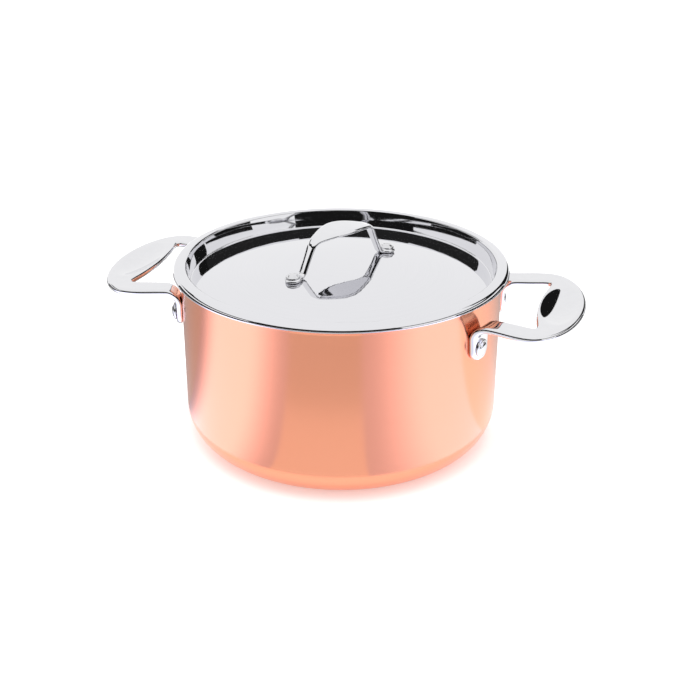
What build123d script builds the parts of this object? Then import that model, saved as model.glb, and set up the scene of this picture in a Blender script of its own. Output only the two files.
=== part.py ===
from build123d import *
from math import asin, cos, radians, sin
import os

# Two-handled copper-clad cooking pot with a recessed steel lid and riveted steel handles.
#
# Units are millimetres. +Z is up, the origin is the centre of the pot's base, and the side
# handles lie along +X and -X.

# ---- Pot body: three bonded layers, counted from the outside ----
POT_RADIUS = 102.5          # outside of the copper
COPPER = 0.4
ALUMINIUM = 1.6
STEEL = 0.5
WALL = COPPER + ALUMINIUM + STEEL
BASE_CORNER = 24.0          # outside radius between base and wall
LIP_TOP = 117.7             # highest point of the pouring lip
LIP_ANGLE = 70.0            # how far the lip turns outwards from the wall
LIP_BEND = 3.0              # outside radius of the lip's bend
LIP_STRAIGHT = 1.0          # straight end of the lip

# ---- Side handles: a cast strap bent into a loop ----
STRAP = 4.2
HANDLE_TOP = 104.5          # top face of the strap
HANDLE_REACH = 156.0        # outermost point, from the pot's axis
HANDLE_HALF_WIDTH = 53.6
HANDLE_END_START = 128.0    # where the elliptical outer end begins
HANDLE_BEND = 6.0           # inside radius where the strap turns down to the wall
TAB_CENTRE = 38.2           # sideways place of each riveted tab
TAB_WIDTH = 14.4
TAB_BOTTOM = 79.5
PAD_INNER_MIDDLE = 127.0    # inner edge of the grip, at its middle
PAD_INNER_CORNER = 131.5    # inner edge of the grip, at the arms
ARM_INNER = 38.2            # inner edge of an arm, at the grip
ARM_SPREAD = 1.6            # how much further out an arm's outer edge is at the wall's radius
ARM_SLOPE = 0.2             # slope of that edge there
OPENING_CORNER = 3.0
DISH_DEPTH = 2.0            # long shallow hollow for the thumb
DISH_HALF_WIDTH = 12.0
DISH_HALF_LENGTH = 31.0
DISH_CENTRE = 140.5
DISH_ROUND_X = (DISH_HALF_WIDTH**2 / DISH_DEPTH + DISH_DEPTH) / 2       # curvature across it
DISH_ROUND_Y = (DISH_HALF_LENGTH**2 / DISH_DEPTH + DISH_DEPTH) / 2      # curvature along it

# ---- Rivets of the side handles ----
RIVET_HEIGHT = 88.3
RIVET_SHANK = 3.0
RIVET_HEAD = 5.7
RIVET_HEAD_RISE = 2.6
RIVET_INNER_RISE = 1.6

# ---- Lid: one pressed sheet, profile of its upper face ----
LID_SHEET = 1.2
LID_RADIUS = 107.2
LID_EDGE_BOTTOM = 116.5     # bottom of the turned-down edge
LID_EDGE_TOP = 119.0
LID_CREST_RADIUS = 99.0
LID_CREST_TOP = 120.7
LID_CREASE_RADIUS = 96.6    # where the recessed panel meets its wall
LID_CREASE_HEIGHT = 108.2
LID_OUTER_BEND = 2.0        # outside radius at the crest and under the crease
LID_DOME_RISE = 8.8
LID_CENTRE = LID_CREASE_HEIGHT + LID_DOME_RISE
LID_DOME_RADIUS = (LID_CREASE_RADIUS**2 + LID_DOME_RISE**2) / (2 * LID_DOME_RISE)

# ---- Lid handle: a cast bridge with a leaf-shaped top ----
LID_HANDLE_TURN = 58.0      # turned about the vertical axis, from +X
FOOT_SPAN = 80.0            # between the two rivets
FOOT_RADIUS = 5.9
FOOT_THICKNESS = 2.6
LEG_BASE_SPAN = 66.0
SHOULDER_SPAN = 48.0
SHOULDER_RISE = 21.5        # corner of the centre line, above the feet
CROWN_RISE = 28.3
BRIDGE_THICKNESS = 3.0
LEG_WIDTH = 6.6
LEAF_WIDTH = 24.0
LEAF_FULLNESS = 0.45        # share of the leaf's swelling reached half way to its end
LID_RIVET_SHANK = 2.4
LID_RIVET_HEAD = 4.5
LID_RIVET_RISE = 2.3


def layer_points(depth):
    """The corner points of one surface of the wall, that far in from the outside."""
    radius = POT_RADIUS - depth
    corner = BASE_CORNER - depth
    turn = radians(LIP_ANGLE)
    bend = LIP_BEND + depth
    inner_bend = LIP_BEND + WALL
    lip_start = LIP_TOP - inner_bend * sin(turn) - LIP_STRAIGHT * cos(turn)
    centre = (POT_RADIUS + LIP_BEND, lip_start)
    middle = (centre[0] - bend * cos(turn / 2), centre[1] + bend * sin(turn / 2))
    bend_end = (centre[0] - bend * cos(turn), centre[1] + bend * sin(turn))
    lip_end = (bend_end[0] + LIP_STRAIGHT * sin(turn), bend_end[1] + LIP_STRAIGHT * cos(turn))
    diagonal = radians(45)
    corner_middle = (radius - corner * (1 - sin(diagonal)), depth + corner * (1 - cos(diagonal)))
    return {
        "axis": (0, depth),
        "base_end": (radius - corner, depth),
        "corner_middle": corner_middle,
        "wall_start": (radius, depth + corner),
        "wall_end": (radius, lip_start),
        "bend_middle": middle,
        "bend_end": bend_end,
        "lip_end": lip_end,
    }


def make_layer(outer_depth, thickness):
    """One bonded layer of the pot, as a body of revolution."""
    outside = layer_points(outer_depth)
    inside = layer_points(outer_depth + thickness)
    with BuildPart() as layer:
        with BuildSketch(Plane.XZ):
            with BuildLine():
                for side in (outside, inside):
                    Line(side["axis"], side["base_end"])
                    ThreePointArc(side["base_end"], side["corner_middle"], side["wall_start"])
                    Line(side["wall_start"], side["wall_end"])
                    ThreePointArc(side["wall_end"], side["bend_middle"], side["bend_end"])
                    Line(side["bend_end"], side["lip_end"])
                Line(outside["axis"], inside["axis"])
                Line(outside["lip_end"], inside["lip_end"])
            make_face()
        revolve(axis=Axis.Z)
        for plane in rivet_planes():
            with BuildSketch(plane):
                Circle(RIVET_SHANK)
            extrude(amount=POT_RADIUS / 2, both=True, mode=Mode.SUBTRACT)
    return layer.part


def rivet_plane(side, end):
    """Where a rivet's axis meets the outside of the wall, by the signs of its X and Y."""
    angle = asin(TAB_CENTRE / POT_RADIUS)
    direction = (side * cos(angle), end * sin(angle), 0)
    origin = (POT_RADIUS * direction[0], POT_RADIUS * direction[1], RIVET_HEIGHT)
    return Plane(origin=origin, z_dir=direction)


def rivet_planes():
    """The four rivet places on the pot."""
    return [rivet_plane(side, end) for side in (1, -1) for end in (-1, 1)]


def strap_section():
    """Section of the strap from tab to grip, drawn in the XZ plane."""
    wall_outer = POT_RADIUS + STRAP
    outer_bend = HANDLE_BEND + STRAP
    bend_height = HANDLE_TOP - outer_bend
    bend_centre = wall_outer + HANDLE_BEND
    reach = HANDLE_REACH + STRAP
    half = radians(45)
    with BuildSketch() as section:
        with BuildLine():
            Line((POT_RADIUS, TAB_BOTTOM), (POT_RADIUS, bend_height))
            ThreePointArc(
                (POT_RADIUS, bend_height),
                (bend_centre - outer_bend * cos(half), bend_height + outer_bend * sin(half)),
                (bend_centre, HANDLE_TOP),
            )
            Line((bend_centre, HANDLE_TOP), (reach, HANDLE_TOP))
            Line((reach, HANDLE_TOP), (reach, HANDLE_TOP - STRAP))
            Line((reach, HANDLE_TOP - STRAP), (bend_centre, HANDLE_TOP - STRAP))
            ThreePointArc(
                (bend_centre, HANDLE_TOP - STRAP),
                (bend_centre - HANDLE_BEND * cos(half), bend_height + HANDLE_BEND * sin(half)),
                (wall_outer, bend_height),
            )
            Line((wall_outer, bend_height), (wall_outer, TAB_BOTTOM))
            Line((wall_outer, TAB_BOTTOM), (POT_RADIUS, TAB_BOTTOM))
        make_face()
    return section.sketch


def loop_outline():
    """Plan of the loop, seen from above, with the opening for the fingers."""
    root = POT_RADIUS * cos(asin(TAB_CENTRE / POT_RADIUS)) - WALL * 2
    tab_outer = TAB_CENTRE + TAB_WIDTH / 2
    tab_inner = TAB_CENTRE - TAB_WIDTH / 2
    end_depth = HANDLE_REACH - HANDLE_END_START
    with BuildSketch() as opening:
        with BuildLine():
            Line((root - WALL, -tab_inner), (root - WALL, tab_inner))
            for side in (1, -1):
                Line((root - WALL, side * tab_inner), (POT_RADIUS, side * tab_inner))
                Line((POT_RADIUS, side * tab_inner), (PAD_INNER_CORNER, side * ARM_INNER))
            ThreePointArc(
                (PAD_INNER_CORNER, -ARM_INNER), (PAD_INNER_MIDDLE, 0), (PAD_INNER_CORNER, ARM_INNER)
            )
        make_face()
        fillet(opening.vertices().sort_by(Axis.X)[-2:], OPENING_CORNER)
    with BuildSketch() as loop:
        with BuildLine():
            EllipticalCenterArc((HANDLE_END_START, 0), end_depth, HANDLE_HALF_WIDTH, -90, arc_size=180)
            for side in (1, -1):
                Spline(
                    (HANDLE_END_START, side * HANDLE_HALF_WIDTH),
                    (POT_RADIUS, side * (tab_outer + ARM_SPREAD)),
                    tangents=[(-1, 0), (-1, -side * ARM_SLOPE)],
                )
                Line((POT_RADIUS, side * (tab_outer + ARM_SPREAD)), (root, side * tab_outer))
            Line((root, -tab_outer), (root, tab_outer))
        make_face()
        add(opening.sketch, mode=Mode.SUBTRACT)
    return loop.sketch


def tab_outline():
    """Front view of the strap: two round-ended tabs below, the whole loop above."""
    tab_end = TAB_BOTTOM + TAB_WIDTH / 2
    tab_height = HANDLE_TOP - tab_end
    band = HANDLE_BEND + STRAP
    with BuildSketch() as tabs:
        with Locations((TAB_CENTRE, tab_end), (-TAB_CENTRE, tab_end)):
            Circle(TAB_WIDTH / 2)
            Rectangle(TAB_WIDTH, tab_height, align=(Align.CENTER, Align.MIN))
        with Locations((0, HANDLE_TOP - band)):
            Rectangle(2 * HANDLE_HALF_WIDTH + STRAP, band, align=(Align.CENTER, Align.MIN))
    return tabs.sketch


def make_handle(side):
    """A side handle, on the +X side when side is 1 and on the -X side when it is -1."""
    with BuildPart() as handle:
        with BuildSketch(Plane.XZ):
            add(strap_section())
        revolve(axis=Axis.Z)
        with BuildSketch(Plane.XY.offset(TAB_BOTTOM)):
            add(loop_outline())
        extrude(amount=HANDLE_TOP - TAB_BOTTOM, mode=Mode.INTERSECT)
        with BuildSketch(Plane.YZ):
            add(tab_outline())
        extrude(amount=HANDLE_REACH + STRAP, mode=Mode.INTERSECT)
        with Locations((DISH_CENTRE, 0, HANDLE_TOP - DISH_DEPTH + DISH_ROUND_Y)):
            Torus(DISH_ROUND_Y - DISH_ROUND_X, DISH_ROUND_X, rotation=(0, 90, 0), mode=Mode.SUBTRACT)
        for end in (-1, 1):
            with BuildSketch(rivet_plane(1, end)):
                Circle(RIVET_SHANK)
            extrude(amount=STRAP * 2, both=True, mode=Mode.SUBTRACT)
        if side < 0:
            mirror(about=Plane.YZ, mode=Mode.REPLACE)
    return handle.part


def make_rivet(plane, inside, outside, shank, head, rise, inner_rise):
    """A set rivet. The plane's normal is its axis, and it clamps from inside to outside along it."""
    profile_plane = Plane(origin=plane.origin, x_dir=plane.z_dir, z_dir=plane.x_dir)
    with BuildPart() as rivet:
        with BuildSketch(profile_plane):
            with BuildLine():
                Line((inside - inner_rise, 0), (outside + rise, 0))
                RadiusArc((outside + rise, 0), (outside, head), -(head**2 + rise**2) / (2 * rise))
                Line((outside, head), (outside, shank))
                Line((outside, shank), (inside, shank))
                Line((inside, shank), (inside, head))
                RadiusArc(
                    (inside, head), (inside - inner_rise, 0), -(head**2 + inner_rise**2) / (2 * inner_rise)
                )
            make_face()
        revolve(axis=Axis(plane.origin, plane.z_dir))
    return rivet.part


def curve_room(radius, head):
    """How far a flat rivet head of that radius stands off the hollow side of a curved wall."""
    return radius - (radius**2 - head**2) ** 0.5


def make_pot_rivet(side, end):
    """A rivet through a handle's tab and the pot's wall."""
    return make_rivet(
        rivet_plane(side, end),
        inside=-WALL - curve_room(POT_RADIUS - WALL, RIVET_HEAD),
        outside=STRAP,
        shank=RIVET_SHANK,
        head=RIVET_HEAD,
        rise=RIVET_HEAD_RISE,
        inner_rise=RIVET_INNER_RISE,
    )


def lid_rivet_plane(end):
    """Where a rivet's axis meets the lid's panel, square to its dome."""
    turn = radians(LID_HANDLE_TURN)
    lean = asin(FOOT_SPAN / 2 / LID_DOME_RADIUS)
    direction = Vector(end * sin(lean) * cos(turn), end * sin(lean) * sin(turn), cos(lean))
    return Plane(origin=dome_centre() + direction * LID_DOME_RADIUS, z_dir=direction)


def dome_centre():
    """Centre of the sphere that the lid's panel is part of."""
    return Vector(0, 0, LID_CENTRE - LID_DOME_RADIUS)


def lid_rivet_pins():
    """The space that the two rivet shanks take, for drilling their holes."""
    with BuildPart() as pins:
        for end in (-1, 1):
            with BuildSketch(lid_rivet_plane(end)):
                Circle(LID_RIVET_SHANK)
            extrude(amount=FOOT_THICKNESS * 2, both=True)
    return pins.part


def lid_section():
    """Half of the lid's section: domed panel, wall, crowned flange and turned-down edge."""
    half_lean = asin(LID_CREASE_RADIUS / LID_DOME_RADIUS) / 2
    dome_middle = (
        LID_DOME_RADIUS * sin(half_lean),
        LID_CENTRE - LID_DOME_RADIUS * (1 - cos(half_lean)),
    )
    crease = (LID_CREASE_RADIUS, LID_CREASE_HEIGHT)
    with BuildSketch() as section:
        with BuildLine():
            ThreePointArc((0, LID_CENTRE), dome_middle, crease)
            Polyline(
                crease,
                (LID_CREST_RADIUS, LID_CREST_TOP),
                (LID_RADIUS, LID_EDGE_TOP),
                (LID_RADIUS, LID_EDGE_BOTTOM),
            )
            offset(amount=LID_SHEET, side=Side.RIGHT, kind=Kind.INTERSECTION)
        make_face()
        by_height = section.vertices().sort_by(Axis.Y)
        fillet([by_height[-1], by_height[0]], LID_OUTER_BEND)
        fillet(section.vertices().group_by(Axis.X)[-1].sort_by(Axis.Y)[-1], LID_SHEET)
    return section.sketch


def make_lid():
    """The lid's pressed sheet, drilled for its handle."""
    with BuildPart() as lid:
        with BuildSketch(Plane.XZ):
            add(lid_section())
        revolve(axis=Axis.Z)
        add(lid_rivet_pins(), mode=Mode.SUBTRACT)
    return lid.part


def bridge_section():
    """Side view of the lid handle, its sheet bent up from the feet and over."""
    shoulder = SHOULDER_SPAN / 2
    foot = FOOT_SPAN / 2
    base = LEG_BASE_SPAN / 2
    low = FOOT_THICKNESS - BRIDGE_THICKNESS / 2
    with BuildSketch() as section:
        with BuildLine():
            FilletPolyline(
                (-foot, low),
                (-base, low),
                (-shoulder, SHOULDER_RISE),
                (0, CROWN_RISE),
                (shoulder, SHOULDER_RISE),
                (base, low),
                (foot, low),
                radius=(3.5, 8.0, 70.0, 8.0, 3.5),
            )
            offset(amount=BRIDGE_THICKNESS / 2, side=Side.BOTH, kind=Kind.INTERSECTION)
        make_face()
    return section.sketch


def bridge_outline():
    """Plan of the lid handle: narrow legs and a leaf-shaped top."""
    foot = FOOT_SPAN / 2
    leg = LEG_WIDTH / 2
    leaf_end = LEG_BASE_SPAN / 2 - LEG_WIDTH / 2
    half_leaf = LEAF_WIDTH / 2
    middle = leg + (half_leaf - leg) * LEAF_FULLNESS
    with BuildSketch() as plan:
        with BuildLine():
            for side in (1, -1):
                Line((-foot, side * leg), (-leaf_end, side * leg))
                Spline(
                    (-leaf_end, side * leg),
                    (-leaf_end / 2, side * middle),
                    (0, side * half_leaf),
                    (leaf_end / 2, side * middle),
                    (leaf_end, side * leg),
                    tangents=[(1, 0), (1, 0)],
                )
                Line((leaf_end, side * leg), (foot, side * leg))
            Line((-foot, -leg), (-foot, leg))
            Line((foot, -leg), (foot, leg))
        make_face()
    return plan.sketch


def make_feet():
    """The two round feet, curved to the lid's dome."""
    with BuildPart() as feet:
        for end in (-1, 1):
            with BuildSketch(lid_rivet_plane(end).offset(-LID_SHEET)):
                Circle(FOOT_RADIUS)
            extrude(amount=FOOT_THICKNESS + LID_SHEET)
    return feet.part


def make_lid_handle():
    """The cast bridge handle, standing on the dome."""
    turn = radians(LID_HANDLE_TURN)
    along = Vector(cos(turn), sin(turn), 0)
    across = Vector(sin(turn), -cos(turn), 0)
    top = Vector(0, 0, LID_CENTRE)
    foot_drop = LID_DOME_RADIUS - (LID_DOME_RADIUS**2 - (FOOT_SPAN / 2) ** 2) ** 0.5
    feet = make_feet()
    with BuildPart() as handle:
        with BuildSketch(Plane(origin=top - Vector(0, 0, foot_drop), x_dir=along, z_dir=across)):
            add(bridge_section())
        extrude(amount=LEAF_WIDTH, both=True)
        with BuildSketch(Plane(origin=top - Vector(0, 0, LEAF_WIDTH), x_dir=along, z_dir=(0, 0, 1))):
            add(bridge_outline())
        extrude(amount=3 * LEAF_WIDTH, mode=Mode.INTERSECT)
        add(feet)
        with Locations(dome_centre()):
            Sphere(LID_DOME_RADIUS, mode=Mode.SUBTRACT)
        add(lid_rivet_pins(), mode=Mode.SUBTRACT)
    return handle.part


def make_lid_rivet(end):
    """A rivet through a foot of the lid handle and the lid's panel."""
    return make_rivet(
        lid_rivet_plane(end),
        inside=-LID_SHEET - curve_room(LID_DOME_RADIUS - LID_SHEET, LID_RIVET_HEAD),
        outside=FOOT_THICKNESS,
        shank=LID_RIVET_SHANK,
        head=LID_RIVET_HEAD,
        rise=LID_RIVET_RISE,
        inner_rise=LID_RIVET_RISE / 2,
    )


def write(part, name):
    """Label a finished piece and write it to the parts folder."""
    part.label = name
    export_step(part, f"parts/{name}.step")


os.makedirs("parts", exist_ok=True)
write(make_layer(0, COPPER), "copper_shell")
write(make_layer(COPPER, ALUMINIUM), "aluminium_core")
write(make_layer(COPPER + ALUMINIUM, STEEL), "steel_liner")
for side_name, side in (("right", 1), ("left", -1)):
    write(make_handle(side), f"{side_name}_handle")
    for end_name, end in (("front", -1), ("rear", 1)):
        write(make_pot_rivet(side, end), f"{side_name}_handle_{end_name}_rivet")
write(make_lid(), "lid")
write(make_lid_handle(), "lid_handle")
write(make_lid_rivet(-1), "lid_handle_front_rivet")
write(make_lid_rivet(1), "lid_handle_rear_rivet")
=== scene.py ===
"""Looks of a two-handled copper-clad cooking pot with a recessed, domed steel lid.

Lengths are in metres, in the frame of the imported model: +Z is up, the origin is the centre of the
pot's base, and the side handles lie along +X and -X.
"""
import logging
import math
from dataclasses import dataclass
from enum import Enum
from functools import cached_property
from itertools import pairwise

import bmesh
import bpy
from mathutils import Matrix, Vector

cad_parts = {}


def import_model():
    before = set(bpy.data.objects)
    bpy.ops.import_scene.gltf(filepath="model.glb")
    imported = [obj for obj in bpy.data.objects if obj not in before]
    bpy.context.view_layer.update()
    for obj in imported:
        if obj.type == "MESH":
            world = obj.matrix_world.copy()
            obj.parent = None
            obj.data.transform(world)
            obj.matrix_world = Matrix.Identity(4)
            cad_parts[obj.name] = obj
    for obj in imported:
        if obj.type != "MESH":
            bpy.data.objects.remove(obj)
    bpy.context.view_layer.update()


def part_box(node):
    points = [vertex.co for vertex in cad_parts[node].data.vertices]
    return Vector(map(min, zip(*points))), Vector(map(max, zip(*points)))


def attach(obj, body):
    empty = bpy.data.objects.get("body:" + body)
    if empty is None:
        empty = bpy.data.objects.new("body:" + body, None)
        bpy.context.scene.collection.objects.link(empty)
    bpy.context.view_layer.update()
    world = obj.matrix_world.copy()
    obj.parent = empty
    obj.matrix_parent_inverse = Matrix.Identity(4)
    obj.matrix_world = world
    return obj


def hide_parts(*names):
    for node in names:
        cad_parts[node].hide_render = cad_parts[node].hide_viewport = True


LOG = logging.getLogger("cooking_pot")
UP = Vector((0, 0, 1))
Pairs = tuple[tuple[float, float], ...]
SHARP_ANGLE = math.radians(40)
WIDEST_EDGE = 0.98  # most of a strap's half width that its rounded edge may take
THINNEST = 1e-4  # half the thickness of a strap where it runs out
FACES_UP = 0.5  # least upward part of the normal on a face that counts as a top face
MERGE = 1e-6  # points this close are one point
NOISE_RANGE = (0.3, 0.7)  # where noise mostly lies
CLOUD_SCALE = 14.0  # of the wide soft variation in each metal
MARKS_IN_WEAR = 0.7  # how much of the wear follows the polishing marks, not the clouds
BUMP_DEPTH = 0.0001
RINGS_PER_TURN = 1.5  # how fast the turning marks change along their length


class Side(Enum):
    """Which side of the pot a handle is on, with the sign of its X."""

    RIGHT = 1
    LEFT = -1


class End(Enum):
    """Which end of a handle a rivet is at, with the sign of its direction."""

    FRONT = -1
    REAR = 1


class Polish(Enum):
    """How a metal surface was finished."""

    MIRROR = "mirror"
    TURNED = "turned"


# ---- finishes


class NodeTree:
    """Short calls for building a material's nodes."""

    def __init__(self, material: bpy.types.Material) -> None:
        """Empties the material's node tree.

        Args:
            material: The material to build.
        """
        material.use_nodes = True
        self.tree = material.node_tree
        self.tree.nodes.clear()

    def add(self, kind: str, **settings: object) -> bpy.types.Node:
        """Adds a node.

        Args:
            kind: The node's type, without the ShaderNode prefix.
            settings: Properties to set on it.

        Returns:
            The new node.
        """
        node = self.tree.nodes.new("ShaderNode" + kind)
        for name, value in settings.items():
            setattr(node, name, value)
        return node

    def link(self, source: bpy.types.NodeSocket, target: bpy.types.NodeSocket) -> None:
        """Joins two sockets."""
        self.tree.links.new(source, target)

    def math(self, operation: str, first: object, second: object = 0.0) -> bpy.types.NodeSocket:
        """Adds a Math node.

        Args:
            operation: The node's operation.
            first: A socket or a number.
            second: A socket or a number.

        Returns:
            The result's socket.
        """
        node = self.add("Math", operation=operation)
        for socket, value in zip(node.inputs, (first, second)):
            if isinstance(value, bpy.types.NodeSocket):
                self.link(value, socket)
            else:
                socket.default_value = value
        return node.outputs[0]

    def span(self, value: bpy.types.NodeSocket, low: float, high: float) -> bpy.types.NodeSocket:
        """Maps noise from the range where it mostly lies to a new one.

        Args:
            value: The socket to map.
            low: What the range's low end becomes.
            high: What its high end becomes.

        Returns:
            The mapped socket.
        """
        node = self.add("MapRange")
        node.inputs["From Min"].default_value = NOISE_RANGE[0]
        node.inputs["From Max"].default_value = NOISE_RANGE[1]
        node.inputs["To Min"].default_value = low
        node.inputs["To Max"].default_value = high
        self.link(value, node.inputs["Value"])
        return node.outputs["Result"]

    def noise(
        self, vector: bpy.types.NodeSocket, scale: float, detail: float = 3.0
    ) -> bpy.types.NodeSocket:
        """Adds a noise texture.

        Args:
            vector: The coordinates it reads.
            scale: Its scale.
            detail: Its detail.

        Returns:
            The noise value's socket.
        """
        node = self.add("TexNoise")
        node.inputs["Scale"].default_value = scale
        node.inputs["Detail"].default_value = detail
        self.link(vector, node.inputs["Vector"])
        return node.outputs["Fac"]


@dataclass(frozen=True)
class MetalFinish:
    """A bare metal surface: its colour, its polish and the fine marks that the polishing left."""

    name: str
    colour: tuple[float, float, float]
    deep_colour: tuple[float, float, float]
    roughness: float
    roughness_spread: float
    line_scale: float
    bump: float
    polish: Polish = Polish.MIRROR
    anisotropy: float = 0.0

    def material(self) -> bpy.types.Material:
        """Builds the finish once and returns it after that.

        Returns:
            The Blender material.
        """
        found = bpy.data.materials.get(self.name)
        if found is not None:
            return found
        material = bpy.data.materials.new(self.name)
        nodes = NodeTree(material)
        shader = nodes.add("BsdfPrincipled")
        shader.inputs["Metallic"].default_value = 1.0
        shader.inputs["Anisotropic"].default_value = self.anisotropy
        place = nodes.add("TexCoord").outputs["Object"]
        split = nodes.add("SeparateXYZ")
        nodes.link(place, split.inputs[0])
        marks = self.polish_marks(nodes, place, split)
        clouds = nodes.noise(place, CLOUD_SCALE)
        self.colour_nodes(nodes, shader, marks, clouds)
        fine = nodes.math("MULTIPLY", marks, MARKS_IN_WEAR)
        wide = nodes.math("MULTIPLY", clouds, 1.0 - MARKS_IN_WEAR)
        low, high = self.roughness - self.roughness_spread, self.roughness + self.roughness_spread
        wear = nodes.span(nodes.math("ADD", fine, wide), low, high)
        nodes.link(wear, shader.inputs["Roughness"])
        bump = nodes.add("Bump")
        bump.inputs["Strength"].default_value = self.bump
        bump.inputs["Distance"].default_value = BUMP_DEPTH
        nodes.link(marks, bump.inputs["Height"])
        nodes.link(bump.outputs[0], shader.inputs["Normal"])
        if self.anisotropy:
            nodes.link(self.meridian(nodes, split), shader.inputs["Tangent"])
        output = nodes.add("OutputMaterial")
        nodes.link(shader.outputs[0], output.inputs["Surface"])
        return material

    def colour_nodes(
        self,
        nodes: NodeTree,
        shader: bpy.types.Node,
        marks: bpy.types.NodeSocket,
        clouds: bpy.types.NodeSocket,
    ) -> None:
        """Varies the colour slightly, along the polishing marks and in wide soft clouds.

        Args:
            nodes: The tree being built.
            shader: The surface shader.
            marks: The fine pattern.
            clouds: The wide pattern.
        """
        blend = nodes.math("MULTIPLY", nodes.math("ADD", marks, clouds), 0.5)
        mix = nodes.add("Mix", data_type="RGBA")
        sockets = [item for item in mix.inputs if item.type == "RGBA"]
        sockets[0].default_value = (*self.deep_colour, 1.0)
        sockets[1].default_value = (*self.colour, 1.0)
        nodes.link(nodes.span(blend, 0.0, 1.0), mix.inputs[0])
        result = next(item for item in mix.outputs if item.type == "RGBA")
        nodes.link(result, shader.inputs["Base Color"])

    def polish_marks(
        self, nodes: NodeTree, place: bpy.types.NodeSocket, split: bpy.types.Node
    ) -> bpy.types.NodeSocket:
        """The fine marks: rings round the pot's axis where the piece was turned, else faint haze.

        Args:
            nodes: The tree being built.
            place: Object coordinates.
            split: The same, as three numbers.

        Returns:
            The pattern's socket.
        """
        if self.polish is Polish.MIRROR:
            return nodes.noise(place, self.line_scale, 6.0)
        across, along = split.outputs["X"], split.outputs["Y"]
        squares = [nodes.math("POWER", part, 2.0) for part in (across, along)]
        radius = nodes.math("SQRT", nodes.math("ADD", *squares))
        turn = nodes.math("ARCTAN2", along, across)
        ring = nodes.add("CombineXYZ")
        nodes.link(nodes.math("MULTIPLY", radius, self.line_scale), ring.inputs["X"])
        nodes.link(nodes.math("MULTIPLY", split.outputs["Z"], self.line_scale), ring.inputs["Y"])
        nodes.link(nodes.math("MULTIPLY", turn, RINGS_PER_TURN), ring.inputs["Z"])
        return nodes.noise(ring.outputs[0], 1.0, 4.0)

    def meridian(self, nodes: NodeTree, split: bpy.types.Node) -> bpy.types.NodeSocket:
        """The direction across the turning marks, along which they stretch a highlight.

        Args:
            nodes: The tree being built.
            split: Object coordinates as three numbers.

        Returns:
            The direction's socket.
        """
        round_axis = nodes.add("CombineXYZ")
        nodes.link(nodes.math("MULTIPLY", split.outputs["Y"], -1.0), round_axis.inputs["X"])
        nodes.link(split.outputs["X"], round_axis.inputs["Y"])
        cross = nodes.add("VectorMath", operation="CROSS_PRODUCT")
        nodes.link(nodes.add("NewGeometry").outputs["Normal"], cross.inputs[0])
        nodes.link(round_axis.outputs[0], cross.inputs[1])
        return cross.outputs[0]


COPPER_FINISH = MetalFinish(
    name="satin_copper",
    colour=(0.955, 0.40, 0.25),
    deep_colour=(0.94, 0.38, 0.23),
    roughness=0.2,
    roughness_spread=0.02,
    polish=Polish.TURNED,
    line_scale=3600.0,
    bump=0.004,
    anisotropy=0.5,
)
ALUMINIUM_FINISH = MetalFinish(
    name="cut_aluminium",
    colour=(0.86, 0.86, 0.88),
    deep_colour=(0.76, 0.76, 0.78),
    roughness=0.3,
    roughness_spread=0.06,
    polish=Polish.TURNED,
    line_scale=5200.0,
    bump=0.1,
)
LINER_FINISH = MetalFinish(
    name="turned_steel",
    colour=(0.70, 0.70, 0.71),
    deep_colour=(0.58, 0.58, 0.60),
    roughness=0.24,
    roughness_spread=0.06,
    polish=Polish.TURNED,
    line_scale=3000.0,
    bump=0.12,
    anisotropy=0.5,
)
LID_FINISH = MetalFinish(
    name="mirror_steel_lid",
    colour=(0.80, 0.80, 0.825),
    deep_colour=(0.775, 0.775, 0.80),
    roughness=0.035,
    roughness_spread=0.015,
    polish=Polish.TURNED,
    line_scale=1500.0,
    bump=0.004,
)
HANDLE_FINISH = MetalFinish(
    name="mirror_steel_cast",
    colour=(0.82, 0.82, 0.84),
    deep_colour=(0.78, 0.78, 0.80),
    roughness=0.05,
    roughness_spread=0.02,
    line_scale=220.0,
    bump=0.01,
)
RIVET_FINISH = MetalFinish(
    name="polished_rivet_steel",
    colour=(0.80, 0.80, 0.815),
    deep_colour=(0.70, 0.70, 0.72),
    roughness=0.08,
    roughness_spread=0.03,
    line_scale=420.0,
    bump=0.02,
)


# ---- mesh tools


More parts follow.
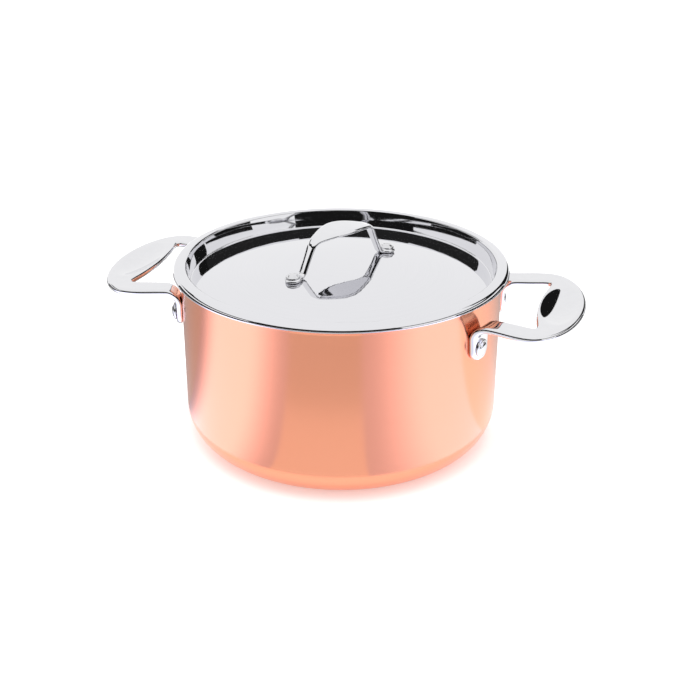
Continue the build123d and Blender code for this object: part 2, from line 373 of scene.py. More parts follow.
class Outline:
    """A line drawn in the XZ plane with a moving tip, to be spun round the Z axis."""

    def __init__(self) -> None:
        """Starts with an empty mesh and no tip."""
        self.mesh = bmesh.new()
        self.tip: bmesh.types.BMVert | None = None

    def start(self, radius: float, height: float) -> bmesh.types.BMVert:
        """Puts the tip down at a new point, and returns that point."""
        self.tip = bmesh.ops.create_vert(self.mesh, co=(radius, 0, height))["vert"][0]
        return self.tip

    def line(self, radius: float, height: float, steps: int = 1) -> None:
        """Draws a straight stretch.

        Args:
            radius: The end's radius.
            height: The end's height.
            steps: How many edges it is made of.
        """
        begin, end = self.tip.co.copy(), Vector((radius, 0, height))
        for step in range(1, steps + 1):
            self.tip = bmesh.ops.extrude_vert_indiv(self.mesh, verts=[self.tip])["verts"][0]
            self.tip.co = begin.lerp(end, step / steps)

    def arc(self, radius: float, height: float, degrees: float, steps: int) -> None:
        """Draws an arc from the tip.

        Args:
            radius: The centre's radius.
            height: The centre's height.
            degrees: The turn, positive from +X towards +Z.
            steps: How many edges it is made of.
        """
        turned = bmesh.ops.spin(
            self.mesh,
            geom=[self.tip],
            cent=(radius, 0, height),
            axis=(0, -1, 0),
            angle=math.radians(degrees),
            steps=steps,
        )
        last = turned["geom_last"]
        self.tip = next(item for item in last if isinstance(item, bmesh.types.BMVert))

    def spun(self, steps: int) -> bmesh.types.BMesh:
        """Spins the line into a closed surface.

        Args:
            steps: How many faces go round.

        Returns:
            The mesh, with its faces pointing outwards.
        """
        bmesh.ops.spin(
            self.mesh,
            geom=self.mesh.verts[:] + self.mesh.edges[:],
            axis=(0, 0, 1),
            angle=math.tau,
            steps=steps,
            use_merge=True,
        )
        bmesh.ops.remove_doubles(self.mesh, verts=self.mesh.verts, dist=MERGE)
        bmesh.ops.recalc_face_normals(self.mesh, faces=self.mesh.faces)
        return self.mesh


@dataclass(frozen=True)
class Station:
    """One round-edged cross-section of a strap."""

    centre: Vector
    across: Vector
    through: Vector
    half_width: float
    half_thickness: float
    edge_fullness: float = 1.0


def section_ring(
    mesh: bmesh.types.BMesh, station: Station, edge_steps: int, flat_cuts: int
) -> list:
    """Adds one closed cross-section to a mesh.

    Args:
        mesh: The mesh being built.
        station: The section's place and size.
        edge_steps: Edges round each rounded side.
        flat_cuts: Extra points across each flat.

    Returns:
        The section's edges.
    """
    thickness = station.half_thickness
    bulge = min(thickness * station.edge_fullness, station.half_width * WIDEST_EDGE)
    old_verts, old_edges = len(mesh.verts), len(mesh.edges)
    turn = Matrix.Rotation(math.pi / (2 * edge_steps), 4, "Z")
    circle = bmesh.ops.create_circle(mesh, segments=2 * edge_steps, radius=thickness, matrix=turn)
    for vert in circle["verts"]:
        vert.co.x *= bulge / thickness
        vert.co.x += math.copysign(station.half_width - bulge, vert.co.x)
    mesh.edges.ensure_lookup_table()
    flats = [edge for edge in mesh.edges[old_edges:] if edge.verts[0].co.x * edge.verts[1].co.x < 0]
    bmesh.ops.subdivide_edges(mesh, edges=flats, cuts=flat_cuts)
    mesh.verts.ensure_lookup_table()
    mesh.edges.ensure_lookup_table()
    along = station.across.cross(station.through)
    place = Matrix((station.across, station.through, along)).transposed().to_4x4()
    place.translation = station.centre
    bmesh.ops.transform(mesh, matrix=place, verts=mesh.verts[old_verts:])
    return mesh.edges[old_edges:]


def loft_strap(
    stations: list[Station], edge_steps: int = 8, flat_cuts: int = 3, close_end: bool = True
) -> bmesh.types.BMesh:
    """Bridges cross-sections, in order, into one smooth strap.

    Args:
        stations: The cross-sections.
        edge_steps: Edges round each rounded side.
        flat_cuts: Extra points across each flat.
        close_end: Whether the last section is closed too. The first one always is.

    Returns:
        The mesh.
    """
    mesh = bmesh.new()
    rings = [section_ring(mesh, station, edge_steps, flat_cuts) for station in stations]
    for before, after in pairwise(rings):
        bmesh.ops.bridge_loops(mesh, edges=before + after)
    for ring in rings[:1] + rings[-1:] * close_end:
        bmesh.ops.contextual_create(mesh, geom=ring)
    return mesh


def linked(mesh: bmesh.types.BMesh, name: str, material: bpy.types.Material) -> bpy.types.Object:
    """Makes a mesh an object in the scene, with one material, and frees the mesh."""
    data = bpy.data.meshes.new(name)
    mesh.to_mesh(data)
    mesh.free()
    data.materials.append(material)
    thing = bpy.data.objects.new(name, data)
    bpy.context.scene.collection.objects.link(thing)
    return thing


def finished(
    mesh: bmesh.types.BMesh, name: str, finish: MetalFinish, smoothing: int = 0
) -> bpy.types.Object:
    """Turns a mesh into a finished piece.

    Args:
        mesh: The mesh, which is freed.
        name: The piece's name.
        finish: Its surface.
        smoothing: Levels of subdivision.

    Returns:
        The piece, at the origin.
    """
    bmesh.ops.recalc_face_normals(mesh, faces=mesh.faces)
    for face in mesh.faces:
        face.smooth = True
    for edge in mesh.edges:
        edge.smooth = len(edge.link_faces) != 2 or edge.calc_face_angle(0.0) < SHARP_ANGLE
    piece = linked(mesh, name, finish.material())
    if smoothing:
        subdivision = piece.modifiers.new("smooth", "SUBSURF")
        subdivision.levels = subdivision.render_levels = smoothing
    return piece


def baked(piece: bpy.types.Object) -> bmesh.types.BMesh:
    """Applies a piece's modifiers.

    Args:
        piece: The piece, which is removed.

    Returns:
        A mesh of its final shape.
    """
    graph = bpy.context.evaluated_depsgraph_get()
    mesh = bmesh.new()
    mesh.from_object(piece, graph)
    data = piece.data
    bpy.data.objects.remove(piece)
    bpy.data.meshes.remove(data)
    return mesh


def stand_in(piece: bpy.types.Object, node: str, body: str) -> None:
    """Makes a piece stand for a CAD node, on its body.

    Args:
        piece: The finished piece.
        node: The CAD node.
        body: The CAD body.
    """
    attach(piece, body)
    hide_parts(node)
    LOG.info("%s: %d faces", piece.name, len(piece.data.polygons))


# ---- the pot


@dataclass
class PotBody:
    """The three bonded layers of the pot, each a spun shell."""

    radius: float = 0.1025
    copper: float = 0.0004
    aluminium: float = 0.0016
    steel: float = 0.0005
    base_corner: float = 0.024
    lip_bend: float = 0.003
    lip_turn: float = 70.0
    lip_straight: float = 0.001
    base_steps: int = 6
    corner_steps: int = 14
    wall_steps: int = 10
    lip_steps: int = 8
    faces_round: int = 160

    def wall_line(self, outline: Outline, depth: float) -> tuple:
        """Draws one surface of the wall, from the axis to the lip.

        Args:
            outline: The line being drawn.
            depth: How far in from the copper's outside.

        Returns:
            The first and last points.
        """
        turn = math.radians(self.lip_turn)
        wall = self.copper + self.aluminium + self.steel
        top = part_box("steel_liner")[1].z
        lip_start = top - (self.lip_bend + wall) * math.sin(turn)
        lip_start -= self.lip_straight * math.cos(turn)
        corner_radius = self.radius - self.base_corner
        first = outline.start(0, depth)
        outline.line(corner_radius, depth, self.base_steps)
        outline.arc(corner_radius, self.base_corner, 90, self.corner_steps)
        outline.line(self.radius - depth, lip_start, self.wall_steps)
        outline.arc(self.radius + self.lip_bend, lip_start, -self.lip_turn, self.lip_steps)
        tip = outline.tip.co
        outline.line(
            tip.x + self.lip_straight * math.sin(turn),
            tip.z + self.lip_straight * math.cos(turn),
        )
        return first, outline.tip

    def layer(self, depth: float, thickness: float) -> bmesh.types.BMesh:
        """One layer.

        Args:
            depth: Where it begins, in from the copper's outside.
            thickness: How thick it is.

        Returns:
            The spun mesh.
        """
        outline = Outline()
        _, outer_end = self.wall_line(outline, depth)
        _, inner_end = self.wall_line(outline, depth + thickness)
        bmesh.ops.contextual_create(outline.mesh, geom=[outer_end, inner_end])
        return outline.spun(self.faces_round)

    def build(self) -> None:
        """Builds and dresses the three layers."""
        layers = (
            ("copper_shell", 0.0, self.copper, COPPER_FINISH, "copper"),
            ("aluminium_core", self.copper, self.aluminium, ALUMINIUM_FINISH, "aluminium"),
            ("steel_liner", self.copper + self.aluminium, self.steel, LINER_FINISH, "liner_steel"),
        )
        for node, depth, thickness, finish, slot in layers:
            piece = finished(self.layer(depth, thickness), f"{node}_finished", finish)
            stand_in(piece, node, "pot")


def eased(t: float) -> float:
    """A share from 0 to 1, changed to leave and arrive gently."""
    return t * t * (3 - 2 * t)


@dataclass
class SideHandle:
    """A side handle: a cast strap bent into a loop, with two tabs turned down against the wall.

    It is made flat, as a blank whose X is the distance from the pot's axis, and then bent. The
    places and turns say where its cross-sections are: tab_turns go round a tab's end, arm_places
    run along an arm, corner_turns pair an angle round the opening's corner with one on the outer
    end's ellipse, and pad_places pair a distance along the grip with one.
    """

    side: Side
    wall_radius: float = 0.1025
    strap: float = 0.0042
    reach: float = 0.156
    half_width: float = 0.0536
    end_start: float = 0.128
    bend: float = 0.006
    tab_centre: float = 0.0382
    tab_half: float = 0.0072
    tab_bottom: float = 0.0795
    arm_outer: float = 0.047
    arm_slope: float = 0.2
    arm_inner: float = 0.0382
    corner_x: float = 0.1278
    corner_y: float = 0.0347
    corner_radius: float = 0.003
    pad_inner: float = 0.127
    pad_inner_corner: float = 0.1315
    dish_centre: float = 0.1405
    dish_length: float = 0.031
    dish_width: float = 0.0122
    dish_depth: float = 0.0036
    dish_rim: float = 0.06
    dish_fade: float = 0.01
    tab_turns: tuple[float, ...] = (87, 77, 65, 52, 37, 18, 0)
    bend_steps: int = 6
    arm_places: tuple[float, ...] = (0.1085, 0.1145, 0.1205)
    corner_turns: Pairs = ((90, 1), (62, 13), (34, 26), (6, 39))
    pad_places: Pairs = ((0.027, 52), (0.018, 65), (0.009, 77.5), (0.0, 90))

    @cached_property
    def name(self) -> str:
        """The CAD node's name."""
        return f"{self.side.name.lower()}_handle"

    @cached_property
    def top(self) -> float:
        """Height of the strap's top face."""
        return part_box(self.name)[1].z

    @cached_property
    def bend_start(self) -> float:
        """Distance from the pot's axis at which the strap begins to turn down."""
        return self.wall_radius + self.strap + self.bend

    @cached_property
    def bend_length(self) -> float:
        """Length of the quarter bend, along the middle of the strap."""
        return (self.bend + self.strap / 2) * math.pi / 2

    def outer_arm(self, x: float) -> float:
        """The Y of an arm's outer edge at a distance x along it."""
        span = self.end_start - self.wall_radius
        t = (x - self.wall_radius) / span
        rise = self.half_width - self.arm_outer
        return self.arm_outer + self.arm_slope * span * t * (1 - t) ** 2 + rise * eased(t)

    def inner_arm(self, x: float) -> float:
        """The Y of an arm's inner edge at a distance x along it."""
        tab_inner = self.tab_centre - self.tab_half
        slope = (self.arm_inner - tab_inner) / (self.pad_inner_corner - self.wall_radius)
        return tab_inner + slope * (x - self.wall_radius)

    def inner_pad(self, y: float) -> float:
        """The X of the grip's inner edge, curved towards the pot, at a distance y along it."""
        sag = self.pad_inner_corner - self.pad_inner
        radius = (self.arm_inner**2 + sag**2) / (2 * sag)
        return self.pad_inner + radius - math.sqrt(radius**2 - y * y)

    def tab_stations(self) -> list[Station]:
        """Cross-sections of the blank's round-ended tab and of the stretch to be bent."""
        half = self.strap / 2
        drop = self.top - self.bend - self.strap - self.tab_bottom
        tab_end = self.bend_start - self.bend_length - drop
        centre = tab_end + self.tab_half
        stations = []
        for degrees in self.tab_turns:
            reach = self.tab_half * math.sin(math.radians(degrees))
            past = max(0.0, reach - (self.tab_half - half))
            stations.append(
                Station(
                    Vector((centre - reach, self.tab_centre, 0)),
                    Vector((0, 1, 0)),
                    UP,
                    self.tab_half * math.cos(math.radians(degrees)),
                    math.sqrt(max(half**2 - past**2, THINNEST**2)),
                )
            )
        root = math.hypot(self.wall_radius, self.arm_outer)
        for step in range(1, self.bend_steps):
            t = step / self.bend_steps
            outer = self.tab_centre + self.tab_half
            outer += (self.arm_outer - outer) * eased(t)
            inner = self.tab_centre - self.tab_half
            x = centre + (root - centre) * t
            stations.append(self.between((x, inner), (x, outer)))
        return stations

    def between(self, inner: tuple[float, float], outer: tuple[float, float]) -> Station:
        """A cross-section from one edge point to another.

        Args:
            inner: X and Y on the inner edge, X being the distance from the pot's axis.
            outer: The same on the outer edge.

        Returns:
            The cross-section.
        """
        first, last = Vector((*inner, 0)), Vector((*outer, 0))
        across = (last - first).normalized()
        return Station((first + last) / 2, across, UP, (last - first).length / 2, self.strap / 2)

    def stations(self) -> list[Station]:
        """Cross-sections of half the blank, from a tab's tip to the middle of the grip."""
        edges = [
            ((x, self.inner_arm(x)), (x, self.outer_arm(x)))
            for x in (self.wall_radius, *self.arm_places)
        ]
        for inner_turn, outer_turn in self.corner_turns:
            angle = math.radians(inner_turn)
            x = self.corner_x + self.corner_radius * math.cos(angle)
            y = self.corner_y + self.corner_radius * math.sin(angle)
            edges.append(((x, y), self.ellipse(outer_turn)))
        edges += [((self.inner_pad(y), y), self.ellipse(turn)) for y, turn in self.pad_places]
        from_axis = [[(math.hypot(x, y), y) for x, y in pair] for pair in edges]
        return self.tab_stations() + [self.between(*pair) for pair in from_axis]

    def ellipse(self, degrees: float) -> tuple[float, float]:
        """A point on the outer end's ellipse, 0 at the arm and 90 at the furthest reach."""
        angle = math.radians(degrees)
        depth = self.reach - self.end_start
        return self.end_start + depth * math.sin(angle), self.half_width * math.cos(angle)

    def bent(self, place: Vector) -> Vector:
        """Where a point of the blank goes when the tabs are turned down.

        Args:
            place: Distance from the axis, Y, and height above the middle of the strap.

        Returns:
            The point in the pot's frame, for the right-hand handle.
        """
        centre_height = self.top - self.strap - self.bend
        middle = self.bend + self.strap / 2
        into = self.bend_start - place.x
        if into <= 0:
            distance, height = place.x, self.top - self.strap / 2 + place.z
        elif into < self.bend_length:
            angle = into / middle
            distance = self.bend_start - (middle + place.z) * math.sin(angle)
            height = centre_height + (middle + place.z) * math.cos(angle)
        else:
            distance = self.bend_start - middle - place.z
            height = centre_height - (into - self.bend_length)
        return Vector((math.sqrt(distance**2 - place.y**2), place.y, height))

    def press_dish(self, mesh: bmesh.types.BMesh) -> None:
        """Presses the shallow thumb hollow into the grip's top face.

        Args:
            mesh: The bent handle.
        """
        for vert in mesh.verts:
            x = (vert.co.x - self.dish_centre) / self.dish_width
            y = vert.co.y / self.dish_length
            inside = 1 - x * x - y * y
            if inside > 0 and vert.normal.z > FACES_UP:
                rim = self.dish_rim / (inside + self.dish_fade)
                vert.co.z -= self.dish_depth * inside / (1 + rim)

    def build(self) -> None:
        """Builds and dresses the handle."""
        mesh = loft_strap(self.stations(), close_end=False)
        half = mesh.verts[:] + mesh.edges[:] + mesh.faces[:]
        bmesh.ops.mirror(mesh, geom=half, axis="Y", merge_dist=MERGE)
        bmesh.ops.remove_doubles(mesh, verts=mesh.verts, dist=MERGE)
        rough = finished(mesh, self.name + "_blank", HANDLE_FINISH, smoothing=2)
        mesh = baked(rough)
        for vert in mesh.verts:
            vert.co = self.bent(vert.co)
        mesh.normal_update()
        bmesh.ops.recalc_face_normals(mesh, faces=mesh.faces)
        self.press_dish(mesh)
        if self.side is Side.LEFT:
            bmesh.ops.scale(mesh, vec=(-1, 1, 1), verts=mesh.verts)
        piece = finished(mesh, self.name + "_finished", HANDLE_FINISH, smoothing=1)
        stand_in(piece, self.name, "pot")


# The outer head's section, as shares of its radius and of its rise: a collar, a groove and a dome.
OUTER_HEAD = (
    (0.97, 0.0),
    (1.0, 0.06),
    (1.0, 0.22),
    (0.95, 0.38),
    (0.80, 0.52),
    (0.74, 0.50),
    (0.68, 0.62),
    (0.55, 0.84),
    (0.30, 0.97),
    (0.0, 1.0),
)


@dataclass
class Rivet:
    """A set rivet with a collared dome outside and a plain dome inside."""

    node: str
    body: str
    place: Matrix
    inside: float
    outside: float
    shank: float = 0.003
    head: float = 0.0057
    rise: float = 0.0026
    inner_rise: float = 0.0016
    inner_steps: int = 8
    faces_round: int = 48

    def mesh(self) -> bmesh.types.BMesh:
        """The rivet standing on the Z axis, its outer head up, then put in place."""
        outline = Outline()
        low = self.inside - self.inner_rise
        outline.start(0, low)
        bow = (self.head**2 + self.inner_rise**2) / (2 * self.inner_rise)
        outline.arc(0, low + bow, math.degrees(math.asin(self.head / bow)), self.inner_steps)
        outline.line(self.shank, self.inside)
        outline.line(self.shank, self.outside)
        for radius, height in OUTER_HEAD:
            outline.line(self.head * radius, self.outside + self.rise * height)
        mesh = outline.spun(self.faces_round)
        bmesh.ops.transform(mesh, matrix=self.place, verts=mesh.verts)
        return mesh

    def build(self) -> None:
        """Builds and dresses the rivet."""
        piece = finished(self.mesh(), self.node + "_finished", RIVET_FINISH)
        stand_in(piece, self.node, self.body)


def facing(origin: Vector, normal: Vector) -> Matrix:
    """A placement at a point, with its Z axis along a direction."""
    return Matrix.Translation(origin) @ normal.to_track_quat("Z", "Y").to_matrix().to_4x4()


@dataclass
class PotRivets:
    """The four rivets that hold the side handles to the wall."""

    wall_radius: float = 0.1025
    wall: float = 0.0025
    tab: float = 0.0042
    tab_centre: float = 0.0382
    height: float = 0.0883

    def build(self) -> None:
        """Builds and dresses the four rivets."""
        angle = math.asin(self.tab_centre / self.wall_radius)
        inner_wall = self.wall_radius - self.wall
        gap = inner_wall - math.sqrt(inner_wall**2 - Rivet.head**2)
        for side in Side:
            for end in End:
                normal = Vector((side.value * math.cos(angle), end.value * math.sin(angle), 0))
                Rivet(
                    node=f"{side.name.lower()}_handle_{end.name.lower()}_rivet",
                    body="pot",
                    place=facing(normal * self.wall_radius + UP * self.height, normal),
                    inside=-self.wall - gap,
                    outside=self.tab,
                ).build()


# ---- the lid


@dataclass
class Lid:
    """The lid's pressed sheet: domed panel, steep wall, crowned flange and turned-down edge."""

    sheet: float = 0.0012
    radius: float = 0.10718
    edge_height: float = 0.0025
    crest_radius: float = 0.099
    crest_rise: float = 0.0017
    crease_radius: float = 0.0966
    crease_drop: float = 0.0108
    crest_bend: float = 0.0018
    crease_bend: float = 0.0008
    edge_bend: float = 0.0023
    dome_rise: float = 0.0088
    dome_steps: int = 24
    bend_steps: int = 8
    wide_cuts: int = 3
    faces_round: int = 192

    @cached_property
    def edge_top(self) -> float:
        """Height of the flange at its outer edge."""
        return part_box("lid")[1].z - self.crest_rise

    @cached_property
    def crease_height(self) -> float:
        """Height of the crease between the panel and its wall."""
        return self.edge_top - self.crease_drop

    @cached_property
    def dome_radius(self) -> float:
        """Radius of the sphere that the panel is part of."""
        return (self.crease_radius**2 + self.dome_rise**2) / (2 * self.dome_rise)

    @cached_property
    def dome_top(self) -> float:
        """Height of the panel's middle."""
        return self.crease_height + self.dome_rise

    def normal_at(self, distance: float, turn: float) -> Vector:
        """The dome's normal at a distance from the axis, turn degrees from +X about it."""
        angle = math.radians(turn)
        lean = math.asin(distance / self.dome_radius)
        out = math.sin(lean)
        return Vector((out * math.cos(angle), out * math.sin(angle), math.cos(lean)))

    def point_at(self, distance: float, turn: float) -> Vector:
        """The point on the dome where normal_at gives the normal."""
        centre = Vector((0, 0, self.dome_top - self.dome_radius))
        return centre + self.normal_at(distance, turn) * self.dome_radius

    def face_line(self) -> bmesh.types.BMesh:
        """The sheet's upper face, from the middle to the bottom of the turned-down edge."""
        outline = Outline()
        outline.start(0, self.dome_top)
        lean = math.degrees(math.asin(self.crease_radius / self.dome_radius))
        outline.arc(0, self.dome_top - self.dome_radius, -lean, self.dome_steps)
        crease = outline.tip
        outline.line(self.crest_radius, self.edge_top + self.crest_rise)
        crest = outline.tip
        outline.line(self.radius, self.edge_top)
        corner = outline.tip
        outline.line(self.radius, self.edge_top - self.edge_height)
        bends = (crease, self.crease_bend), (crest, self.crest_bend), (corner, self.edge_bend)
        for point, length in bends:
            bmesh.ops.bevel(
                outline.mesh,
                geom=[point],
                offset=length,
                segments=self.bend_steps,
                profile=0.5,
                affect="VERTICES",
                material=-1,
            )
        wide = [edge for edge in outline.mesh.edges if edge.calc_length() > self.sheet]
        bmesh.ops.subdivide_edges(outline.mesh, edges=wide, cuts=self.wide_cuts)
        return outline.spun(self.faces_round)

    def build(self) -> None:
        """Builds and dresses the lid."""
        mesh = self.face_line()
        if max(mesh.faces, key=lambda face: face.calc_center_median().z).normal.z < 0:
            bmesh.ops.reverse_faces(mesh, faces=mesh.faces)
        bmesh.ops.solidify(mesh, geom=mesh.faces[:], thickness=self.sheet)
        piece = finished(mesh, "lid_finished", LID_FINISH)
        stand_in(piece, "lid", "lid")


@dataclass
class LidHandle:
    """The lid's cast bridge: round feet, narrow legs and a leaf-shaped top."""

    lid: Lid
    turn: float = 58.0
    foot_distance: float = 0.04
    foot_radius: float = 0.0059
    foot_thickness: float = 0.0026
    thickness: float = 0.003
    leg_distance: float = 0.033
    leg_half_width: float = 0.0033
    shoulder_distance: float = 0.024
    shoulder_rise: float = 0.0215
    crown_rise: float = 0.0283
    leaf_half_width: float = 0.012
    edge_fullness: float = 2.2
    foot_bend: float = 0.0035
    shoulder_bend: float = 0.008
    crown_bend: float = 0.07
    rivet_shank: float = 0.0024
    rivet_head: float = 0.0045
    rivet_rise: float = 0.0023

    @cached_property
    def along(self) -> Vector:
        """Direction from the front foot to the rear one."""
        angle = math.radians(self.turn)
        return Vector((math.cos(angle), math.sin(angle), 0))

    def path(self) -> list[Vector]:
        """The middle line from one foot's rim to the other's, as distance along and height."""
        dome = self.lid.dome_radius
        foot_drop = dome - math.sqrt(dome**2 - self.foot_distance**2)
        base = self.lid.dome_top - foot_drop
        low = base + self.foot_thickness / 2
        slope = self.foot_distance / self.lid.dome_radius
        half = [
            (self.shoulder_distance, base + self.shoulder_rise),
            (self.leg_distance, low + slope * (self.foot_distance - self.leg_distance)),
            (self.foot_distance + self.foot_radius, low - slope * self.foot_radius),
        ]
        mirrored = [(-distance, height) for distance, height in reversed(half)]
        corners = [*mirrored, (0, base + self.crown_rise), *half]
        side = (self.foot_bend, self.shoulder_bend)
        bends = (*side, self.crown_bend, *reversed(side))
        return rounded_path([Vector(corner) for corner in corners], bends)

    def half_width_at(self, distance: float, height: float) -> float:
        """Half the strap's width.

        Args:
            distance: Distance along the handle from its middle.
            height: Height above the foot.

        Returns:
            The half width.
        """
        span = self.leg_distance - self.leg_half_width
        share = min(1.0, abs(distance) / span)
        leaf = (1 - share) ** 2 * (1 + 2 * share)
        width = self.leg_half_width + (self.leaf_half_width - self.leg_half_width) * leaf
        if height < self.foot_thickness:
            reach = abs(abs(distance) - self.foot_distance)
            foot = math.sqrt(max(0.0, self.foot_radius**2 - reach**2))
            outside = abs(distance) > self.foot_distance
            width = foot if outside else max(width, foot)
        return width

    def stations(self) -> list[Station]:
        """Cross-sections from foot to foot."""
        path = self.path()
        across = self.along.cross(UP)
        base = path[0].y
        stations = []
        for index, point in enumerate(path):
            ahead = path[min(index + 1, len(path) - 1)] - path[max(index - 1, 0)]
            ahead = (self.along * ahead.x + UP * ahead.y).normalized()
            width = self.half_width_at(point.x, point.y - base)
            half = self.thickness / 2
            past = max(0.0, abs(point.x) - self.foot_distance - self.foot_radius + half)
            half = math.sqrt(max(half**2 - past**2, THINNEST**2))
            stations.append(
                Station(
                    self.along * point.x + UP * point.y,
                    across,
                    across.cross(ahead),
                    max(width, half),
                    half,
                    self.edge_fullness,
                )
            )
        return stations

    def build(self) -> None:
        """Builds and dresses the handle and its two rivets."""
        mesh = loft_strap(self.stations())
        piece = finished(mesh, "lid_handle_finished", HANDLE_FINISH, smoothing=2)
        stand_in(piece, "lid_handle", "lid")
        under = self.lid.dome_radius - self.lid.sheet
        gap = under - math.sqrt(under**2 - self.rivet_head**2)
        for end in End:
            turn = self.turn + (180 if end is End.FRONT else 0)
            normal = self.lid.normal_at(self.foot_distance, turn)
            Rivet(
                node=f"lid_handle_{end.name.lower()}_rivet",
                body="lid",
                place=facing(self.lid.point_at(self.foot_distance, turn), normal),
                inside=-self.lid.sheet - gap,
                outside=self.foot_thickness,
                shank=self.rivet_shank,
                head=self.rivet_head,
                rise=self.rivet_rise,
                inner_rise=self.rivet_rise / 2,
            ).build()


def rounded_path(
    corners: list[Vector], bends: tuple[float, ...], bend_steps: int = 6, steps: int = 5
) -> list[Vector]:
    """A line through corners, each rounded by an arc of its own radius.

    Args:
        corners: The corners, in two dimensions.
        bends: The radius at each inner corner.
        bend_steps: Edges in each arc.
        steps: Edges in each straight stretch.

    Returns:
        The points of the line.
    """
    points = [corners[0]]
    for before, corner, after, bend in zip(corners, corners[1:], corners[2:], bends):
        back, ahead = (before - corner).normalized(), (after - corner).normalized()
        length = bend / math.tan(back.angle(ahead) / 2)
        start, end = corner + back * length, corner + ahead * length
        points += [points[-1].lerp(start, step / steps) for step in range(1, steps + 1)]
        inwards = ((start + end) / 2 - corner).normalized()
        middle = corner + inwards * math.hypot(bend, (start - corner).length)
        arm = start - middle
        turn = arm.angle_signed(end - middle)
        for step in range(1, bend_steps):
            points.append(middle + Matrix.Rotation(-turn * step / bend_steps, 2) @ arm)
        points.append(end)
    points += [points[-1].lerp(corners[-1], step / steps) for step in range(1, steps + 1)]
    return points


# ---- the studio


WHITE = (1.0, 1.0, 1.0)
COOL = (1.0, 1.0, 1.2)  # the tint of the brighter panels
NEAR_POT = (0.115, 0.001)
MIDDLE_FLOOR = (0.22, 0.001)
FAR_FLOOR = (0.65, 0.001)
FLOOR_END = (1.5, 0.001)


@dataclass(frozen=True)
class Panel:
    """A curved panel round the object that only shows as a reflection in the metal.

    It runs between two azimuths, counted from the camera towards the right, and between two edges,
    each given by its distance from the pot's axis and its height.
    """

    name: str
    start: float
    end: float
    lower: tuple[float, float]
    upper: tuple[float, float]
    brightness: float
    end_brightness: float | None = None
    tint: tuple[float, float, float] = WHITE
    faces: int = 24

    def build(self, facing_azimuth: float) -> bpy.types.Object:
        """Builds the panel.

        Args:
            facing_azimuth: The camera's azimuth, in degrees from -Y towards +X.

        Returns:
            The panel.
        """
        mesh = bmesh.new()
        first = bmesh.ops.create_vert(mesh, co=(0, -self.lower[0], self.lower[1]))["vert"]
        last = bmesh.ops.create_vert(mesh, co=(0, -self.upper[0], self.upper[1]))["vert"]
        edge = bmesh.ops.contextual_create(mesh, geom=first + last)["edges"]
        width = math.radians(self.end - self.start)
        bmesh.ops.spin(mesh, geom=first + last + edge, axis=UP, angle=width, steps=self.faces)
        panel = staged(mesh, self.name, self.light(width))
        panel.rotation_euler.z = math.radians(facing_azimuth + self.start)
        panel.visible_camera = panel.visible_diffuse = panel.visible_shadow = False
        return panel

    def light(self, width: float) -> bpy.types.Material:
        """The panel's surface, whose light fades evenly from one end to the other.

        Args:
            width: The angle that the panel spans, in radians.

        Returns:
            The material.
        """
        material = bpy.data.materials.new(self.name)
        nodes = NodeTree(material)
        light = nodes.add("Emission")
        light.inputs["Strength"].default_value = self.brightness
        light.inputs["Color"].default_value = (*self.tint, 1.0)
        if self.end_brightness is not None:
            place = nodes.add("SeparateXYZ")
            nodes.link(nodes.add("TexCoord").outputs["Object"], place.inputs[0])
            ahead = nodes.math("MULTIPLY", place.outputs["Y"], -1.0)
            fade = nodes.add("MapRange", interpolation_type="SMOOTHSTEP")
            fade.inputs["From Max"].default_value = width
            fade.inputs["To Min"].default_value = self.brightness
            fade.inputs["To Max"].default_value = self.end_brightness
            nodes.link(nodes.math("ARCTAN2", place.outputs["X"], ahead), fade.inputs["Value"])
            nodes.link(fade.outputs["Result"], light.inputs["Strength"])
        nodes.link(light.outputs[0], nodes.add("OutputMaterial").inputs["Surface"])
        return material


def staged(mesh: bmesh.types.BMesh, name: str, material: bpy.types.Material) -> bpy.types.Object:
    """Turns a mesh into an object that isn't part of the pot.

    Args:
        mesh: The mesh, which is freed.
        name: The object's name.
        material: Its surface.

    Returns:
        The object.
    """
    thing = linked(mesh, name, material)
    return thing


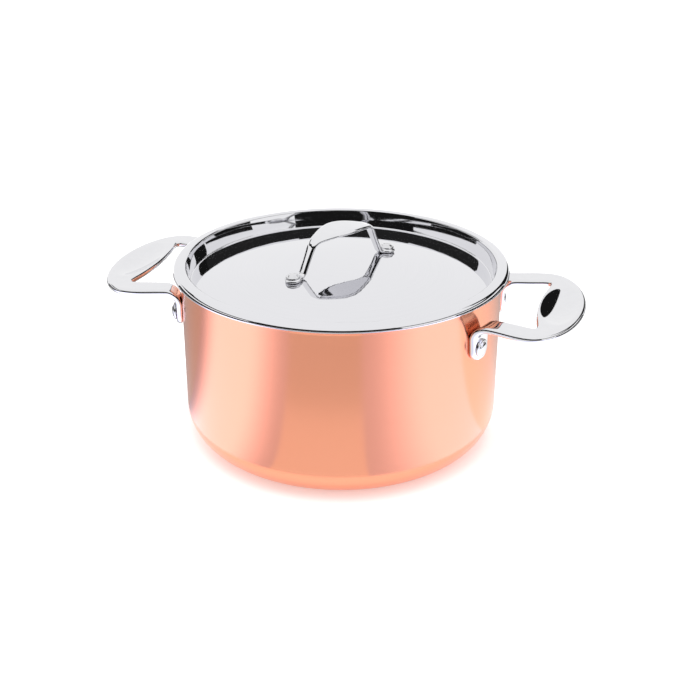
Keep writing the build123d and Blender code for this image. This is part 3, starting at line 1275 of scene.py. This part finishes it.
@dataclass
class Studio:
    """The pale floor, the soft light and the camera."""

    azimuth: float = 15.7
    elevation: float = 25.5
    distance: float = 0.769
    frame_width: float = 0.4645
    aim_side: float = 0.0058
    aim_height: float = 0.0552
    roll: float = 0.29
    sensor: float = 36.0
    nearest: float = 0.01
    floor_size: float = 8.0
    floor_colour: tuple[float, float, float] = (0.92, 0.92, 0.925)
    floor_glow: float = 0.3
    lamp_size: float = 2.2
    lamp_height: float = 2.0
    lamp_power: float = 30.0
    panels: tuple[Panel, ...] = (
        Panel("dark_front", -60, 38, (1.5, 0.10), (1.5, 1.25), 0.01),
        Panel("dark_left", -128, -60, (1.5, 0.02), (1.5, 0.44), 0.01),
        Panel("dark_right", 76, 130, (1.5, 0.02), (1.5, 0.44), 0.01),
        Panel("dark_line", -142, 138, (1.4, 0.72), (1.4, 1.04), 0.02),
        Panel("dark_rear_right", 132, 154, (1.5, 0.18), (1.5, 1.5), 0.01),
        Panel("floor_left_end", -175, -100, NEAR_POT, FAR_FLOOR, 0.3, 0.6),
        Panel("floor_left_rise", -100, -80, NEAR_POT, FAR_FLOOR, 0.6, 1.7, COOL),
        Panel("floor_left", -80, -57, NEAR_POT, FAR_FLOOR, 1.7, None, COOL),
        Panel("floor_left_fade", -57, -30, NEAR_POT, FAR_FLOOR, 1.7, 0.8, COOL),
        Panel("floor_front_near", -30, 12, NEAR_POT, MIDDLE_FLOOR, 0.97),
        Panel("floor_front", -30, 12, MIDDLE_FLOOR, FAR_FLOOR, 0.76),
        Panel("floor_right_fade", 12, 52, NEAR_POT, FAR_FLOOR, 0.82, 1.6, COOL),
        Panel("floor_right", 52, 78, NEAR_POT, FAR_FLOOR, 1.6, None, COOL),
        Panel("floor_right_end", 78, 175, NEAR_POT, FAR_FLOOR, 1.35, 0.15),
        Panel("floor_dark", -142, 145, FAR_FLOOR, FLOOR_END, 0.02),
    )

    def camera(self) -> None:
        """Adds the camera."""
        elevation = math.radians(self.elevation)
        turn = Matrix.Rotation(math.radians(self.azimuth), 3, "Z")
        right = turn @ Vector((1, 0, 0))
        back = turn @ Vector((0, -math.cos(elevation), math.sin(elevation)))
        data = bpy.data.cameras.new("camera")
        data.sensor_width = self.sensor
        data.lens = self.distance * self.sensor / self.frame_width
        data.clip_start = self.nearest
        camera = bpy.data.objects.new("camera", data)
        bpy.context.scene.collection.objects.link(camera)
        turn = Matrix((right, back.cross(right), back)).transposed().to_4x4()
        turn = turn @ Matrix.Rotation(math.radians(self.roll), 4, "Z")
        place = right * self.aim_side + UP * self.aim_height + back * self.distance
        camera.matrix_world = Matrix.Translation(place) @ turn
        bpy.context.scene.camera = camera

    def floor(self) -> None:
        """Adds the floor, which glows a little so that its shadows stay faint."""
        mesh = bmesh.new()
        bmesh.ops.create_grid(mesh, x_segments=1, y_segments=1, size=self.floor_size / 2)
        material = bpy.data.materials.new("pale_floor")
        nodes = NodeTree(material)
        shader = nodes.add("BsdfDiffuse")
        shader.inputs["Color"].default_value = (*self.floor_colour, 1.0)
        glow = nodes.add("Emission")
        glow.inputs["Strength"].default_value = self.floor_glow
        both = nodes.add("AddShader")
        nodes.link(shader.outputs[0], both.inputs[0])
        nodes.link(glow.outputs[0], both.inputs[1])
        nodes.link(both.outputs[0], nodes.add("OutputMaterial").inputs["Surface"])
        staged(mesh, "floor", material)

    def light(self) -> None:
        """Adds the even sky and one wide soft light from above."""
        world = bpy.data.worlds.new("studio")
        world.use_nodes = True
        sky = world.node_tree.nodes["Background"]
        sky.inputs["Color"].default_value = (*WHITE, 1.0)
        sky.inputs["Strength"].default_value = 1.0
        bpy.context.scene.world = world
        data = bpy.data.lights.new("overhead", "AREA")
        data.shape = "SQUARE"
        data.size = self.lamp_size
        data.energy = self.lamp_power
        lamp = bpy.data.objects.new("overhead", data)
        lamp.location = UP * self.lamp_height
        bpy.context.scene.collection.objects.link(lamp)
        lamp.visible_glossy = False

    def build(self) -> None:
        """Builds the whole studio."""
        bpy.context.scene.view_settings.view_transform = "Standard"
        self.camera()
        self.floor()
        self.light()
        for panel in self.panels:
            panel.build(self.azimuth)


def main() -> None:
    """Builds the pot, its lid and the studio."""
    logging.basicConfig(level=logging.INFO, format="%(name)s %(message)s")
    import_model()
    Studio().build()
    PotBody().build()
    for side in Side:
        SideHandle(side).build()
    PotRivets().build()
    lid = Lid()
    lid.build()
    LidHandle(lid).build()


if __name__ == "__main__":
    main()
